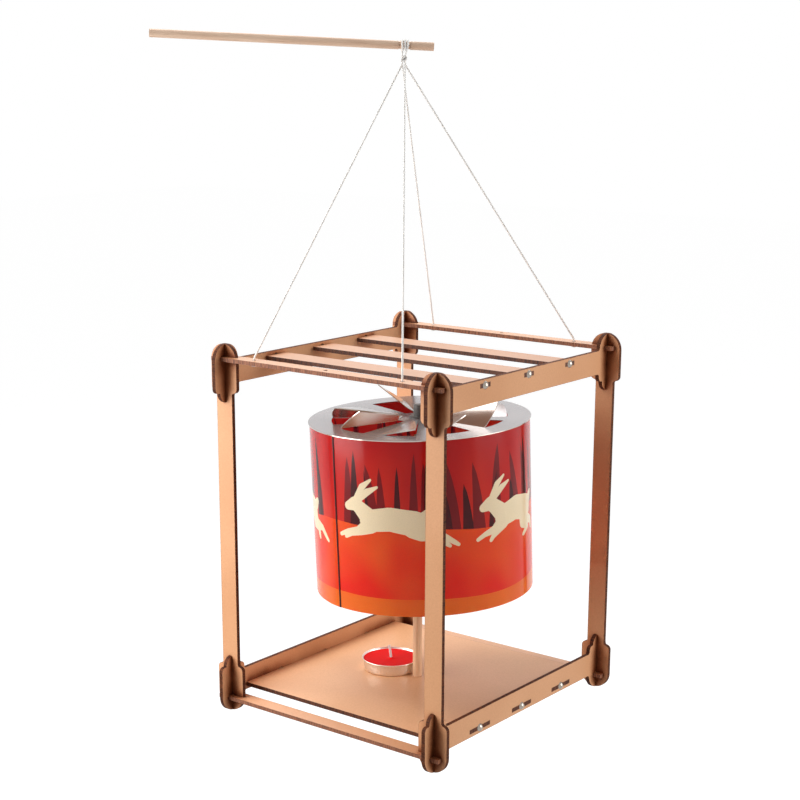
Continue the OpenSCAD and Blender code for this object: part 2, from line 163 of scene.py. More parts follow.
def plug(tree, shader, **links):
    for key, socket in links.items():
        tree.links.new(socket, shader.inputs[key.replace("_", " ")])


# Materials

FIBRE_TONE = srgb(190, 130, 90)
SPECK_TONE = srgb(150, 100, 68)
SCORCH_TONE = srgb(120, 66, 36)
SCORCH_W = 0.8 * MM
# Painted shade in the hollows where boards cross: a brown tone, a near-black tone where it is deepest, how
# far the occlusion looks, and the distances from the lantern's middle over which it comes in.
PAINTED_SHADE_TONE = srgb(162, 88, 48)
PAINTED_DEEP_SHADE_TONE = srgb(64, 28, 10)
CORNER_SHADE_DEPTH = 11 * MM
CORNER_SHADE_FROM = 84 * MM
CORNER_SHADE_FULL = 98 * MM
EDGE_ROUGH = 0.72
EDGE_GRAIN = 260.0
EDGE_GRAIN_THROUGH = 40.0


def painted_corner_shade(tree, place, corner_shade):
    """How much painted shade a place gets: most in the hollows where boards cross, away from the lantern's
    middle.
    """
    hollow = node(tree, "ShaderNodeAmbientOcclusion", {"Distance": CORNER_SHADE_DEPTH}, samples=12).outputs["AO"]
    painted_shade = spread(tree, hollow, 0.92, 0.56)
    to_axis = (-GROUND.x, -GROUND.y, 0)
    from_axis = node(tree, "ShaderNodeVectorMath", {0: place, 1: to_axis}, operation="ADD")
    level = node(tree, "ShaderNodeVectorMath", {0: from_axis.outputs[0], 1: (1, 1, 0)},
                 operation="MULTIPLY")
    reach = node(tree, "ShaderNodeVectorMath", {0: level.outputs[0]}, operation="LENGTH").outputs["Value"]
    painted_shade = math_node(tree, "MULTIPLY", painted_shade, spread(tree, reach, CORNER_SHADE_FROM, CORNER_SHADE_FULL, 0.25, 1.0))
    clouds = spread(tree, noise(tree, place, 90, 2), 0.25, 0.7, 0.7 * corner_shade, corner_shade)
    return math_node(tree, "MULTIPLY", painted_shade, clouds)


def hardboard(name, face_axis, tan, char_with_painted_light, ior, gloss, corner_shade=0.0):
    """Laser-cut hardboard: fine fibres, charred edges with a scorched line, and painted shade in the hollows
    where boards cross. The char pair passed in is a copy painted lit for the bars and a copy darkened with
    painted shade for the other boards.
    """
    material, tree, shader, coords = new_material(name, IOR=ior)
    place = coords.outputs["Object"]
    normal = node(tree, "ShaderNodeSeparateXYZ", {0: coords.outputs["Normal"]}).outputs[face_axis]
    on_face = spread(tree, math_node(tree, "ABSOLUTE", normal), 0.6, 0.8)
    patches = noise(tree, place, 14, 2)
    fibres = noise(tree, place, 900, 4, 0.7)
    specks = spread(tree, noise(tree, place, 1700, 2), 0.66, 0.78)
    tan = mix_colour(tree, spread(tree, patches, 0.3, 0.7), *tan)
    tan = mix_colour(tree, spread(tree, fibres, 0.35, 0.75, 0.0, 0.35), tan, FIBRE_TONE)
    tan = mix_colour(tree, math_node(tree, "MULTIPLY", specks, 0.35), tan, SPECK_TONE)
    rounded = node(tree, "ShaderNodeBevel", {"Radius": SCORCH_W}, samples=6).outputs[0]
    true_normal = node(tree, "ShaderNodeNewGeometry").outputs["True Normal"]
    facing = node(tree, "ShaderNodeVectorMath", {0: rounded, 1: true_normal}, operation="DOT_PRODUCT")
    near_edge = spread(tree, facing.outputs["Value"], 0.995, 0.80)
    uneven = spread(tree, noise(tree, place, 160, 2), 0.2, 0.7, 0.35, 0.9)
    face = mix_colour(tree, math_node(tree, "MULTIPLY", near_edge, uneven), tan, SCORCH_TONE)
    # Painted shade: the face darkens to brown, and to near black in the deepest hollows, where boards cross.
    if corner_shade:
        painted_shade = painted_corner_shade(tree, place, corner_shade)
        face = mix_colour(tree, math_node(tree, "MULTIPLY", painted_shade, 1.4, clamp=True), face, PAINTED_SHADE_TONE)
        face = mix_colour(tree, math_node(tree, "MULTIPLY", painted_shade, painted_shade), face, PAINTED_DEEP_SHADE_TONE)
    across = [EDGE_GRAIN, EDGE_GRAIN, EDGE_GRAIN]
    across[face_axis] = EDGE_GRAIN_THROUGH
    cuts = noise(tree, stretch(tree, place, across), 5, 3, 0.6)
    # The edge colour is the char copy passed in: painted lit for the bars, darkened with painted shade for
    # the other boards.
    burnt_with_painted_light = mix_colour(tree, spread(tree, cuts, 0.35, 0.7), *char_with_painted_light)
    colour = mix_colour(tree, on_face, burnt_with_painted_light, face)
    rough = spread(tree, on_face, 0, 1, EDGE_ROUGH, gloss)
    height = mix_colour(tree, on_face, cuts, fibres)
    plug(tree, shader, Base_Color=colour, Roughness=rough, Normal=bump(tree, height, 0.25, 0.15 * MM))
    return material


PORE_TONE = srgb(140, 96, 66)
GRAIN_ALONG = 18.0
GRAIN_ACROSS = 420.0


def dowel(name, axis, pale, dark):
    """Turned wood with its grain along an axis."""
    material, tree, shader, coords = new_material(name)
    axis = Vector(axis)
    side = axis.orthogonal().normalized()
    rows = (axis, side, axis.cross(side))
    scales = (GRAIN_ALONG, GRAIN_ACROSS, GRAIN_ACROSS)
    parts = [
        node(tree, "ShaderNodeVectorMath", {0: coords.outputs["Object"], 1: row * scale},
             operation="DOT_PRODUCT").outputs["Value"]
        for row, scale in zip(rows, scales)
    ]
    place = node(tree, "ShaderNodeCombineXYZ", dict(enumerate(parts))).outputs[0]
    streaks = noise(tree, place, 1.0, 4, 0.6)
    pores = spread(tree, noise(tree, place, 3.2, 2), 0.62, 0.75)
    wood = mix_colour(tree, spread(tree, streaks, 0.3, 0.7), pale, dark)
    wood = mix_colour(tree, math_node(tree, "MULTIPLY", pores, 0.4), wood, PORE_TONE)
    rough = spread(tree, streaks, 0.2, 0.8, 0.42, 0.6)
    plug(tree, shader, Base_Color=wood, Roughness=rough, Normal=bump(tree, streaks, 0.3, 0.1 * MM))
    return material


def cotton(name):
    """Soft white string that lets a little light through."""
    material, tree, shader, coords = new_material(
        name, Sheen_Weight=0.2, Roughness=0.9, Subsurface_Weight=0.8, Subsurface_Radius=(1.0, 1.0, 1.0),
        Subsurface_Scale=0.7 * MM)
    fibres = noise(tree, coords.outputs["Object"], 2600, 3, 0.7)
    tone = noise(tree, coords.outputs["Object"], 90, 2)
    thread = mix_colour(tree, spread(tree, tone, 0.3, 0.7), srgb(230, 228, 224), srgb(240, 238, 235))
    thread = mix_colour(tree, spread(tree, fibres, 0.45, 0.8, 0.0, 0.35), thread, srgb(218, 215, 210))
    plug(tree, shader, Base_Color=thread, Normal=bump(tree, fibres, 0.2, 0.06 * MM))
    return material


def metal(name, colour, rough, scratch_scale):
    """Metal with fine scratches in its gloss and slight dents."""
    material, tree, shader, coords = new_material(name, Metallic=1.0)
    scratches = noise(tree, coords.outputs["Object"], scratch_scale, 4, 0.65)
    dents = noise(tree, coords.outputs["Object"], scratch_scale / 9, 2)
    dull = tuple(0.88 * c for c in colour[:3]) + (1.0,)
    tone = mix_colour(tree, spread(tree, scratches, 0.35, 0.75), colour, dull)
    gloss = spread(tree, scratches, 0.3, 0.8, 0.7 * rough, 1.5 * rough)
    plug(tree, shader, Base_Color=tone, Roughness=gloss, Normal=bump(tree, dents, 0.15, 0.05 * MM))
    return material


FOIL_SCRATCHES = 160
FOIL_DENTS = 18
FLAT_BARE, BENT_BARE = 0.6, 0.85
FLAT_ROUGH, BENT_ROUGH = 0.2, 0.14


def foil_card(name, flat_tone, bent_tone_painted_reflection):
    """Foil card: a matt coat on the flat disc, and barer metal where the vanes bend out of it; the bent vanes
    also get a warm tone, a painted reflection of the wood above them.
    """
    material, tree, shader, coords = new_material(name)
    scratches = noise(tree, coords.outputs["Object"], FOIL_SCRATCHES, 4, 0.65)
    dents = noise(tree, coords.outputs["Object"], FOIL_DENTS, 2)
    facing = node(tree, "ShaderNodeVectorMath", {0: coords.outputs["Normal"], 1: SPIN},
                  operation="DOT_PRODUCT").outputs["Value"]
    bent = spread(tree, math_node(tree, "ABSOLUTE", facing), 0.99, 0.96)
    # The bent vanes take the warm tone: a painted reflection of the wood above them.
    tone = mix_colour(tree, bent, flat_tone, bent_tone_painted_reflection)
    bare = spread(tree, bent, 0, 1, FLAT_BARE, BENT_BARE)
    gloss = math_node(tree, "MULTIPLY", spread(tree, bent, 0, 1, FLAT_ROUGH, BENT_ROUGH),
                      spread(tree, scratches, 0.3, 0.8, 0.9, 1.15))
    plug(tree, shader, Base_Color=tone, Metallic=bare, Roughness=gloss,
         Normal=bump(tree, dents, 0.15, 0.2 * MM))
    return material


def film_ink(name, low, high, glow=0.8):
    """Printed film: an ink that shades from low to high up the drum, under a gloss."""
    material, tree, shader, coords = new_material(
        name, IOR=1.27, Subsurface_Weight=glow, Subsurface_Radius=(1.0, 1.0, 1.0), Subsurface_Scale=1.2 * MM)
    height = node(tree, "ShaderNodeSeparateXYZ", {0: coords.outputs["UV"]}).outputs[1]
    clouds = noise(tree, stretch(tree, coords.outputs["UV"], (4.0, 0.7, 1.0)), 3, 1)
    grain = noise(tree, coords.outputs["Object"], 2400, 2)
    share = math_node(tree, "ADD", height, spread(tree, clouds, 0.3, 0.7, -0.3, 0.3), clamp=True)
    ink = mix_colour(tree, share, low, high)
    ink = mix_colour(tree, spread(tree, grain, 0.4, 0.8, 0.0, 0.12), ink, srgb(40, 8, 10))
    waves = noise(tree, stretch(tree, coords.outputs["UV"], (9.0, 0.2, 1.0)), 2, 1)
    rough = spread(tree, grain, 0.2, 0.8, 0.1, 0.2)
    plug(tree, shader, Base_Color=ink, Roughness=rough, Normal=bump(tree, waves, 0.6, 1.2 * MM))
    return material


def plain_dark(name, colour, lighter):
    """Dark moulded plastic with a fine grain."""
    material, tree, shader, coords = new_material(name)
    grain = noise(tree, coords.outputs["Object"], 1200, 3)
    rough = spread(tree, grain, 0.2, 0.8, 0.28, 0.5)
    tone = mix_colour(tree, spread(tree, grain, 0.3, 0.8), colour, lighter)
    plug(tree, shader, Base_Color=tone, Roughness=rough, Normal=bump(tree, grain, 0.1, 0.05 * MM))
    return material


def wax_red(name):
    """Dyed wax, clouded and a little frosted."""
    material, tree, shader, coords = new_material(
        name, Subsurface_Weight=0.3, Subsurface_Radius=(1.0, 0.3, 0.2), Subsurface_Scale=0.8 * MM, IOR=1.15)
    clouds = noise(tree, coords.outputs["Object"], 120, 3)
    frost = spread(tree, noise(tree, coords.outputs["Object"], 700, 3), 0.6, 0.8)
    wax = mix_colour(tree, spread(tree, clouds, 0.3, 0.7), srgb(246, 22, 24), srgb(252, 36, 36))
    wax = mix_colour(tree, math_node(tree, "MULTIPLY", frost, 0.25), wax, srgb(238, 70, 66))
    rough = spread(tree, clouds, 0.2, 0.8, 0.5, 0.7)
    plug(tree, shader, Base_Color=wax, Roughness=rough, Normal=bump(tree, clouds, 0.25, 0.3 * MM))
    return material


FACE_X, FACE_Y, FACE_Z = 0, 1, 2
TAN = (srgb(216, 158, 115), srgb(228, 172, 129))
# The roof slats take a darker copy of the tan: painted shade.
SLAT_TAN_PAINTED_SHADE = (srgb(198, 144, 106), srgb(210, 156, 118))
# The floor plate takes a lighter copy of the tan: painted light, in place of lamp light that the roof and
# drum keep off it.
FLOOR_TAN_PAINTED_LIT = (srgb(224, 168, 122), srgb(234, 180, 136))
# Two copies of the charred edge colour: the first pair is the char darkened with painted shade, for edges
# that face away from the key lamp or lie in shade; the second is the char painted lighter as lit, for the
# bars' edges, which face the key lamp.
CHAR_AND_PAINTED_SHADE = (srgb(48, 20, 9), srgb(108, 58, 31))
CHAR_PAINTED_LIT = (srgb(92, 48, 28), srgb(164, 104, 70))
UPRIGHT = {"ior": 1.25, "gloss": 0.42, "corner_shade": 0.95}
LEVEL = {"ior": 1.5, "gloss": 0.34}
BOARD_X = hardboard("hardboard_side", FACE_X, TAN, CHAR_AND_PAINTED_SHADE, **UPRIGHT)
BOARD_Y = hardboard("hardboard_upright", FACE_Y, TAN, CHAR_AND_PAINTED_SHADE, **UPRIGHT)
BOARD_BAR = hardboard("hardboard_bar", FACE_Z, TAN, CHAR_PAINTED_LIT, **LEVEL, corner_shade=0.6)
BOARD_SLAT = hardboard("hardboard_slat", FACE_Z, SLAT_TAN_PAINTED_SHADE, CHAR_AND_PAINTED_SHADE, **LEVEL, corner_shade=0.6)
BOARD_FLOOR = hardboard("hardboard_floor", FACE_Z, FLOOR_TAN_PAINTED_LIT, CHAR_AND_PAINTED_SHADE, ior=1.36, gloss=0.36)
STICK_WOOD = dowel("stick_wood", ALONG, srgb(238, 208, 182), srgb(218, 180, 152))
POLE_WOOD = dowel("pole_wood", (0, 0, 1), srgb(240, 204, 166), srgb(222, 176, 136))
COTTON = cotton("cotton_string")
PIN_STEEL = metal("pin_steel", srgb(160, 151, 141), 0.1, 900)
NEEDLE_STEEL = metal("needle_steel", srgb(200, 200, 204), 0.2, 1400)
# The second tone, on the bent vanes, is warmed as a painted reflection of the wooden roof.
FOIL = foil_card("foil", srgb(172, 168, 170), srgb(196, 184, 175))
CUP_METAL = metal("cup_metal", srgb(244, 236, 226), 0.36, 700)
BEARING = plain_dark("bearing_plastic", srgb(72, 70, 68), srgb(100, 97, 94))
WAX = wax_red("red_wax")
WICK = cotton("wick_cotton")


def paint(names, material):
    """Gives CAD nodes their material."""
    for name in names:
        for slot in NODES[name].material_slots:
            slot.material = material


def named(start):
    return [name for name in NODES if name.startswith(start)]


def paint_cad_nodes():
    paint(named("post_"), BOARD_Y)
    paint(named("top_beam") + named("base_beam"), BOARD_X)
    paint(named("top_bar") + named("base_bar"), BOARD_BAR)
    paint(named("roof_slat"), BOARD_SLAT)
    paint(["floor_plate"], BOARD_FLOOR)
    paint(["carrying_stick"], STICK_WOOD)
    paint(["centre_pole"], POLE_WOOD)
    paint(named("top_pins") + named("base_pins") + ["wick_foot"], PIN_STEEL)
    paint(["needle"], NEEDLE_STEEL)
    paint(["turbine_disc"], FOIL)
    paint(["bearing_cup"], BEARING)


# Meshes

SHARP_DEG = 40


def make_piece(name, verts, faces, materials, body, replaced):
    """A smooth-shaded mesh that rides on a body in place of CAD nodes."""
    mesh = bpy.data.meshes.new(name)
    mesh.from_pydata([tuple(v) for v in verts], [], [tuple(f) for f in faces])
    for material in materials:
        mesh.materials.append(material)
    mesh.shade_smooth()
    mesh.set_sharp_from_angle(angle=math.radians(SHARP_DEG))
    piece = bpy.data.objects.new(name, mesh)
    bpy.context.scene.collection.objects.link(piece)
    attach(piece, body)
    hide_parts(*replaced)
    return piece


def resample(points, step):
    """Points along a route, step apart."""
    points = np.array([tuple(p) for p in points])
    lengths = np.concatenate([[0], np.cumsum(np.linalg.norm(np.diff(points, axis=0), axis=1))])
    count = max(2, int(round(lengths[-1] / step)) + 1)
    at = np.linspace(0, lengths[-1], count)
    return np.stack([np.interp(at, lengths, points[:, k]) for k in range(3)], axis=1)


def soften(points, passes):
    """Rounds the corners of a dense route; its ends stay."""
    for _ in range(passes):
        points[1:-1] = (points[:-2] + 2 * points[1:-1] + points[2:]) / 4
    return points


PLIES = 3
PLY_DEPTH = 0.06
PLY_SIDES = 12


def plied_tube(points, radius, lay, closed=False):
    """A twisted string along a dense route: verts and faces. lay is the length of one twist."""
    count = len(points)
    if closed:
        heading = np.roll(points, -1, axis=0) - np.roll(points, 1, axis=0)
    else:
        heading = np.gradient(points, axis=0)
    heading /= np.linalg.norm(heading, axis=1)[:, None]
    side = np.array(Vector(heading[0]).orthogonal().normalized())
    angles = np.arange(PLY_SIDES) * 2 * math.pi / PLY_SIDES
    verts = []
    travelled = 0.0
    for i in range(count):
        side = side - heading[i] * side.dot(heading[i])
        side /= np.linalg.norm(side)
        other = np.cross(heading[i], side)
        if i:
            travelled += np.linalg.norm(points[i] - points[i - 1])
        twist = 2 * math.pi * travelled / lay
        lobes = 1 - PLY_DEPTH + PLY_DEPTH * np.abs(np.cos(PLIES * (angles - twist) / 2))
        ring = radius * lobes
        verts.extend(points[i] + ring[k] * (math.cos(a) * side + math.sin(a) * other)
                     for k, a in enumerate(angles))
    faces = []
    for i in range(count if closed else count - 1):
        for k in range(PLY_SIDES):
            low, high = i * PLY_SIDES, (i + 1) % count * PLY_SIDES
            after = (k + 1) % PLY_SIDES
            faces.append((low + k, low + after, high + after, high + k))
    if not closed:
        faces.append(tuple(range(PLY_SIDES))[::-1])
        faces.append(tuple(range((count - 1) * PLY_SIDES, count * PLY_SIDES)))
    return verts, faces


def join_meshes(parts):
    """Verts and faces of several meshes as one."""
    verts, faces = [], []
    for part_verts, part_faces in parts:
        start = len(verts)
        verts.extend(part_verts)
        faces.extend(tuple(start + i for i in face) for face in part_faces)
    return verts, faces


def lathe(profile, sides, wobble=None):
    """Turns an open profile of (radius, height), which starts and ends on the axis, about Z."""
    angles = np.arange(sides) * 2 * math.pi / sides
    verts = [Vector((0, 0, profile[0][1]))]
    rows = profile[1:-1]
    for radius, height in rows:
        for a in angles:
            r, z = wobble(radius, height, a) if wobble else (radius, height)
            verts.append(Vector((r * math.cos(a), r * math.sin(a), z)))
    verts.append(Vector((0, 0, profile[-1][1])))
    last = len(verts) - 1
    faces = []
    for k in range(sides):
        after = (k + 1) % sides
        faces.append((0, 1 + after, 1 + k))
        top = 1 + (len(rows) - 1) * sides
        faces.append((last, top + k, top + after))
        for i in range(len(rows) - 1):
            low, high = 1 + i * sides, 1 + (i + 1) * sides
            faces.append((low + k, low + after, high + after, high + k))
    return verts, faces


# Strings, their loops round the stick and their knots

STRING_D = 1.2
STRING_LAY = 4.2 * MM
KNOT_SPOT = 0.8
KNOT_DROP = 6.0
KNOT_BASE = 9.6
KNOT_R = 2.1
HOLE_X = 56.0
FRAME_D = 180.0
BAR_TOP = 228.25
BAR_BOTTOM = 225.75
STOP_R = 1.7
STOP_H = 1.4
LOOP_R = 3.1
LOOP_PITCH = 1.7
LOOP_TURNS = 2.5
LOOP_STEPS = 48
KNOT_STEPS = 96
KNOT_WAIST = 0.66
CORE_SIDES = 16
CORE_NECK = 0.6
CORE_SHOULDER = 0.46
STRING_PASSES = 12
LOOP_PASSES = 6
STRING_STEP = 0.4 * MM
ENDS = {"front": -1, "back": 1}
SIDES = {"left": -1, "right": 1}


def from_seat(x, y, z):
    return SEAT + (x * ALONG + y * ACROSS + z * UPWARD) * MM


def from_ground(x, y, z):
    return GROUND + Vector((x, y, z)) * MM


def string_route(side, end):
    """Out of the knot, straight to the bar, and down through its hole."""
    top = from_seat(side * KNOT_SPOT, end * KNOT_SPOT, -KNOT_BASE)
    lead = from_seat(side * KNOT_SPOT, end * KNOT_SPOT, -KNOT_BASE - STRING_D)
    hole = from_ground(side * HOLE_X, end * FRAME_D / 2, BAR_TOP + STRING_D)
    foot = from_ground(side * HOLE_X, end * FRAME_D / 2, BAR_BOTTOM)
    return [top, lead, lead + (hole - lead) / 3, lead + (hole - lead) * 2 / 3, hole, foot]


def winding_route():
    """Up from the knot, round the stick, and down to the knot again."""
    def tail(side):
        return [from_seat(side * KNOT_SPOT, -side * KNOT_SPOT, z) for z in (-KNOT_DROP, STRING_D - KNOT_DROP)]
    loops = []
    for i in range(int(LOOP_TURNS * LOOP_STEPS) + 1):
        turn = i / LOOP_STEPS
        angle = 2 * math.pi * turn
        loops.append(from_seat((turn - LOOP_TURNS / 2) * LOOP_PITCH,
                               LOOP_R * math.cos(angle), LOOP_R * math.sin(angle)))
    return tail(-1) + loops + tail(1)[::-1]


def knot_mesh(centre, up, across, radius, height):
    """A tight overhand knot of one string round a core, inside a barrel of that radius and height."""
    string_r = STRING_D / 2
    reach = radius - string_r
    ring = KNOT_WAIST * reach
    rise = height / 2 - string_r
    third = up.cross(across)
    points = []
    for i in range(KNOT_STEPS):
        t = 2 * math.pi * i / KNOT_STEPS
        r = ring + (reach - ring) * math.cos(3 * t)
        local = r * math.cos(2 * t) * across + r * math.sin(2 * t) * third + rise * math.sin(3 * t) * up
        points.append(centre + local * MM)
    strand = plied_tube(np.array([tuple(p) for p in points]), string_r * MM, STRING_LAY, closed=True)
    core = lathe([(0, -height / 2), (CORE_NECK * ring, -CORE_SHOULDER * height), (ring, 0),
                  (CORE_NECK * ring, CORE_SHOULDER * height), (0, height / 2)], CORE_SIDES)
    turn = Matrix((across, third, up)).transposed()
    placed = [centre + (turn @ v) * MM for v in core[0]]
    return join_meshes([strand, (placed, core[1])])


def make_strings():
    middle = from_seat(0, 0, -(KNOT_DROP + KNOT_BASE) / 2)
    verts, faces = knot_mesh(middle, UPWARD, ACROSS, KNOT_R, KNOT_BASE - KNOT_DROP)
    gather = make_piece("gather_knot_tied", verts, faces, [COTTON], "lantern", ["gather_knot"])
    route = soften(resample(winding_route(), STRING_STEP), LOOP_PASSES)
    verts, faces = plied_tube(route, STRING_D / 2 * MM, STRING_LAY)
    winding = make_piece("stick_winding_wound", verts, faces, [COTTON], "lantern",
                         ["stick_winding"])
    for end_name, end in ENDS.items():
        for side_name, side in SIDES.items():
            route = soften(resample(string_route(side, end), STRING_STEP), STRING_PASSES)
            verts, faces = plied_tube(route, STRING_D / 2 * MM, STRING_LAY)
            node_name = f"string_{end_name}_{side_name}"
            piece = make_piece(f"{node_name}_twisted", verts, faces, [COTTON], "lantern",
                               [node_name])
            spot = from_ground(side * HOLE_X, end * FRAME_D / 2, BAR_BOTTOM - STOP_H / 2)
            verts, faces = knot_mesh(spot, Vector((0, 0, 1)), Vector((1, 0, 0)), STOP_R, STOP_H)
            stopper = make_piece(f"stopper_knot_{end_name}_{side_name}", verts, faces, [COTTON], "lantern",
                                 ["stopper_knots"])


# Picture drum: one strip of printed film, rolled up and lapped

FILM_R = 68.85
FILM_T = 0.24
FILM_H = 108.0
FILM_TOP = -6.1
LAP_W = 9.0
LAP_HEADING = -105.0
LAP_RISE = 0.3
STRIP_L = 2 * math.pi * FILM_R + LAP_W
COLUMN = 3.0
SEAM_W = 1.2
HORIZON = 54.0
HILL_SWING = 2.2
PATH_H = 10.5
PATH_SWING = 0.7
BLADE_STEPS = 7
BLADE_SINK = 5
BLADE_BEND = 7
GRASS_MARGIN = 12
HARES = 5
HARE_SCALE = 0.84
HARE_Y = 54.0
HARE_BOB = 4
ARC_POINTS = 9

SKY, GROUND_INK, PATH_INK, FAR_GRASS, NEAR_GRASS, HARE, SEAM = range(7)


def film_materials():
    return [
        film_ink("film_sky", srgb(216, 46, 28), srgb(180, 16, 16)),
        film_ink("film_ground", srgb(240, 30, 12), srgb(250, 98, 32)),
        film_ink("film_path", srgb(254, 104, 26), srgb(226, 62, 20)),
        film_ink("film_far_grass", srgb(128, 20, 22), srgb(112, 14, 20)),
        film_ink("film_near_grass", srgb(72, 12, 18), srgb(58, 10, 16)),
        film_ink("film_hare", srgb(246, 220, 178), srgb(250, 228, 190), glow=0.3),
        film_ink("film_seam", srgb(50, 10, 12), srgb(40, 8, 12)),
    ]


def hill(s, level, swing):
    """Height of a soft hill line at a distance along the strip; it joins up at the lap."""
    turn = 2 * math.pi * s / (STRIP_L - LAP_W)
    return level + swing * (math.sin(3 * turn + 0.4) + 0.6 * math.sin(5 * turn + 2.1))


def band(level, swing):
    """Polygon of the strip below a hill line."""
    count = int(STRIP_L / COLUMN)
    line = [(STRIP_L * i / count, hill(STRIP_L * i / count, level, swing)) for i in range(count + 1)]
    return [(0, 0), (STRIP_L, 0)] + line[::-1]


def blade(foot_s, width, height, bend):
    """One blade of grass, from the horizon up to a bent tip."""
    base = hill(foot_s, HORIZON, HILL_SWING) - BLADE_SINK
    left, right = [], []
    for i in range(BLADE_STEPS):
        t = i / BLADE_STEPS
        middle = foot_s + bend * t * t
        half = width / 2 * (1 - t) ** 0.6
        left.append((middle - half, base + height * t))
        right.append((middle + half, base + height * t))
    return left + [(foot_s + bend, base + height)] + right[::-1]


def grass(count, widths, heights, seed):
    """A row of blades along the strip, clear of its ends."""
    random = np.random.RandomState(seed)
    blades = []
    for i in range(count):
        foot = (i + random.uniform(0.15, 0.85)) * (STRIP_L - 2 * GRASS_MARGIN) / count + GRASS_MARGIN
        blades.append(blade(foot, random.uniform(*widths), random.uniform(*heights),
                            random.uniform(-BLADE_BEND, BLADE_BEND)))
    return blades


def limb(points):
    """Outlines of the tapered capsules along a chain of (x, y, radius)."""
    outlines = []
    for (x0, y0, r0), (x1, y1, r1) in zip(points, points[1:]):
        length = math.hypot(x1 - x0, y1 - y0)
        heading = math.atan2(y1 - y0, x1 - x0)
        lean = math.acos(max(-1, min(1, (r0 - r1) / length)))
        outline = []
        for x, y, r, start, stop in ((x1, y1, r1, heading - lean, heading + lean),
                                     (x0, y0, r0, heading + lean, heading + 2 * math.pi - lean)):
            for i in range(ARC_POINTS):
                a = start + (stop - start) * i / (ARC_POINTS - 1)
                outline.append((x + r * math.cos(a), y + r * math.sin(a)))
        outlines.append(outline)
    return outlines


def between(gathered, stretched, share):
    return [tuple(a + (b - a) * share for a, b in zip(p, q)) for p, q in zip(gathered, stretched)]


def hare(phase):
    """A running hare as capsule outlines, facing +X, in millimetres; phase 0 is the full stretch."""
    def stretched(lag=0.0):
        return (1 + math.cos(phase + lag)) / 2
    hind_gathered = [(-12, -2, 8.5), (-4, -10, 5.0), (-12, -17, 2.6), (2, -20, 1.9), (6, -20, 1.5)]
    hind_stretched = [(-17, -2, 8.5), (-25, -8, 4.6), (-37, -9, 2.4), (-46, -15, 1.8), (-49, -17, 1.3)]
    fore_gathered = [(14, -3, 6.2), (12, -11, 3.2), (7, -18, 2.0), (0, -20, 1.5)]
    fore_stretched = [(15, -2, 6.2), (25, -7, 3.0), (35, -9, 1.9), (42, -12, 1.5)]
    back = between([(-13, 2, 10), (0, 6, 9.6), (14, 1, 8.2)], [(-18, 0, 9.4), (0, 3, 8.8), (16, 1, 8.0)],
                   stretched())
    head = [(16, 3, 7.2), (24, 10, 5.4), (27.5, 12.5, 5.2), (34, 10.2, 3.1)]
    outlines = limb(back) + limb(head)
    outlines += limb([(25, 15, 2.0), (17, 22, 2.6), (9, 26, 0.9)])
    outlines += limb([(27, 16, 2.0), (21, 25.5, 2.5), (14, 31, 0.9)])
    outlines += limb([(back[0][0] - 7, 5, 4.0), (back[0][0] - 10.5, 9, 2.6)])
    for lag in (0.0, 0.7):
        outlines += limb(between(hind_gathered, hind_stretched, stretched(lag)))
        outlines += limb(between(fore_gathered, fore_stretched, stretched(-lag)))
    return outlines


def film_regions():
    """Regions of the strip as (ink, polygon): the print, then a dark band along the lapped end; a later one
    lies over an earlier one.
    """
    regions = [(SKY, [(0, 0), (STRIP_L, 0), (STRIP_L, FILM_H), (0, FILM_H)])]
    regions += [(FAR_GRASS, b) for b in grass(30, (5, 11), (42, 56), 3)]
    regions += [(NEAR_GRASS, b) for b in grass(26, (3, 8), (30, 54), 8)]
    regions += [(GROUND_INK, band(HORIZON, HILL_SWING)), (PATH_INK, band(PATH_H, PATH_SWING))]
    spacing = (STRIP_L - LAP_W) / HARES
    for k in range(HARES):
        phase = 2 * math.pi * k / HARES
        middle = LAP_W / 2 + (k + 0.5) * spacing
        rise = HARE_Y + HARE_BOB * math.cos(phase)
        for outline in hare(phase):
            regions.append((HARE, [(middle - HARE_SCALE * x, rise + HARE_SCALE * y) for x, y in outline]))
    # A dark band along the lapped end of the strip, the same dark colour that the strip's cut edges take.
    seam_s = STRIP_L - SEAM_W
    regions.append((SEAM, [(seam_s, 0), (STRIP_L, 0), (STRIP_L, FILM_H), (seam_s, FILM_H)]))
    return regions


def anticlockwise(outline):
    area = sum(x0 * y1 - x1 * y0 for (x0, y0), (x1, y1) in zip(outline, outline[1:] + outline[:1]))
    return outline if area > 0 else outline[::-1]


def print_layout():
    """Cuts the flat strip along every printed outline: points, triangles and the ink of each triangle."""
    points, edges, polygons, inks = [], [], [], []
    for ink, outline in film_regions():
        polygons.append(list(range(len(points), len(points) + len(outline))))
        points.extend(Vector(p) for p in anticlockwise(outline))
        inks.append(ink)
    columns = int(STRIP_L / COLUMN)
    for i in range(1, columns):
        edges.append((len(points), len(points) + 1))
        points.extend((Vector((STRIP_L * i / columns, 0)), Vector((STRIP_L * i / columns, FILM_H))))
    flat, _, triangles, _, _, owners = delaunay_2d_cdt(points, edges, polygons, 0, 1e-4, True)
    return flat, triangles, [inks[max(owner)] if owner else SKY for owner in owners]


def smoothstep(x):
    x = max(0.0, min(1.0, x))
    return x * x * (3 - 2 * x)


def rolled(s, h, depth):
    """Place of a point of the strip on the drum; depth is across the film."""
    lift = LAP_RISE * smoothstep((s - STRIP_L + 2 * LAP_W) / LAP_W)
    angle = math.radians(LAP_HEADING) + (s - LAP_W / 2 - (STRIP_L - LAP_W)) / FILM_R
    r = FILM_R + lift + depth
    return DRUM @ (Vector((r * math.cos(angle), r * math.sin(angle), FILM_TOP - FILM_H + h)) * MM)


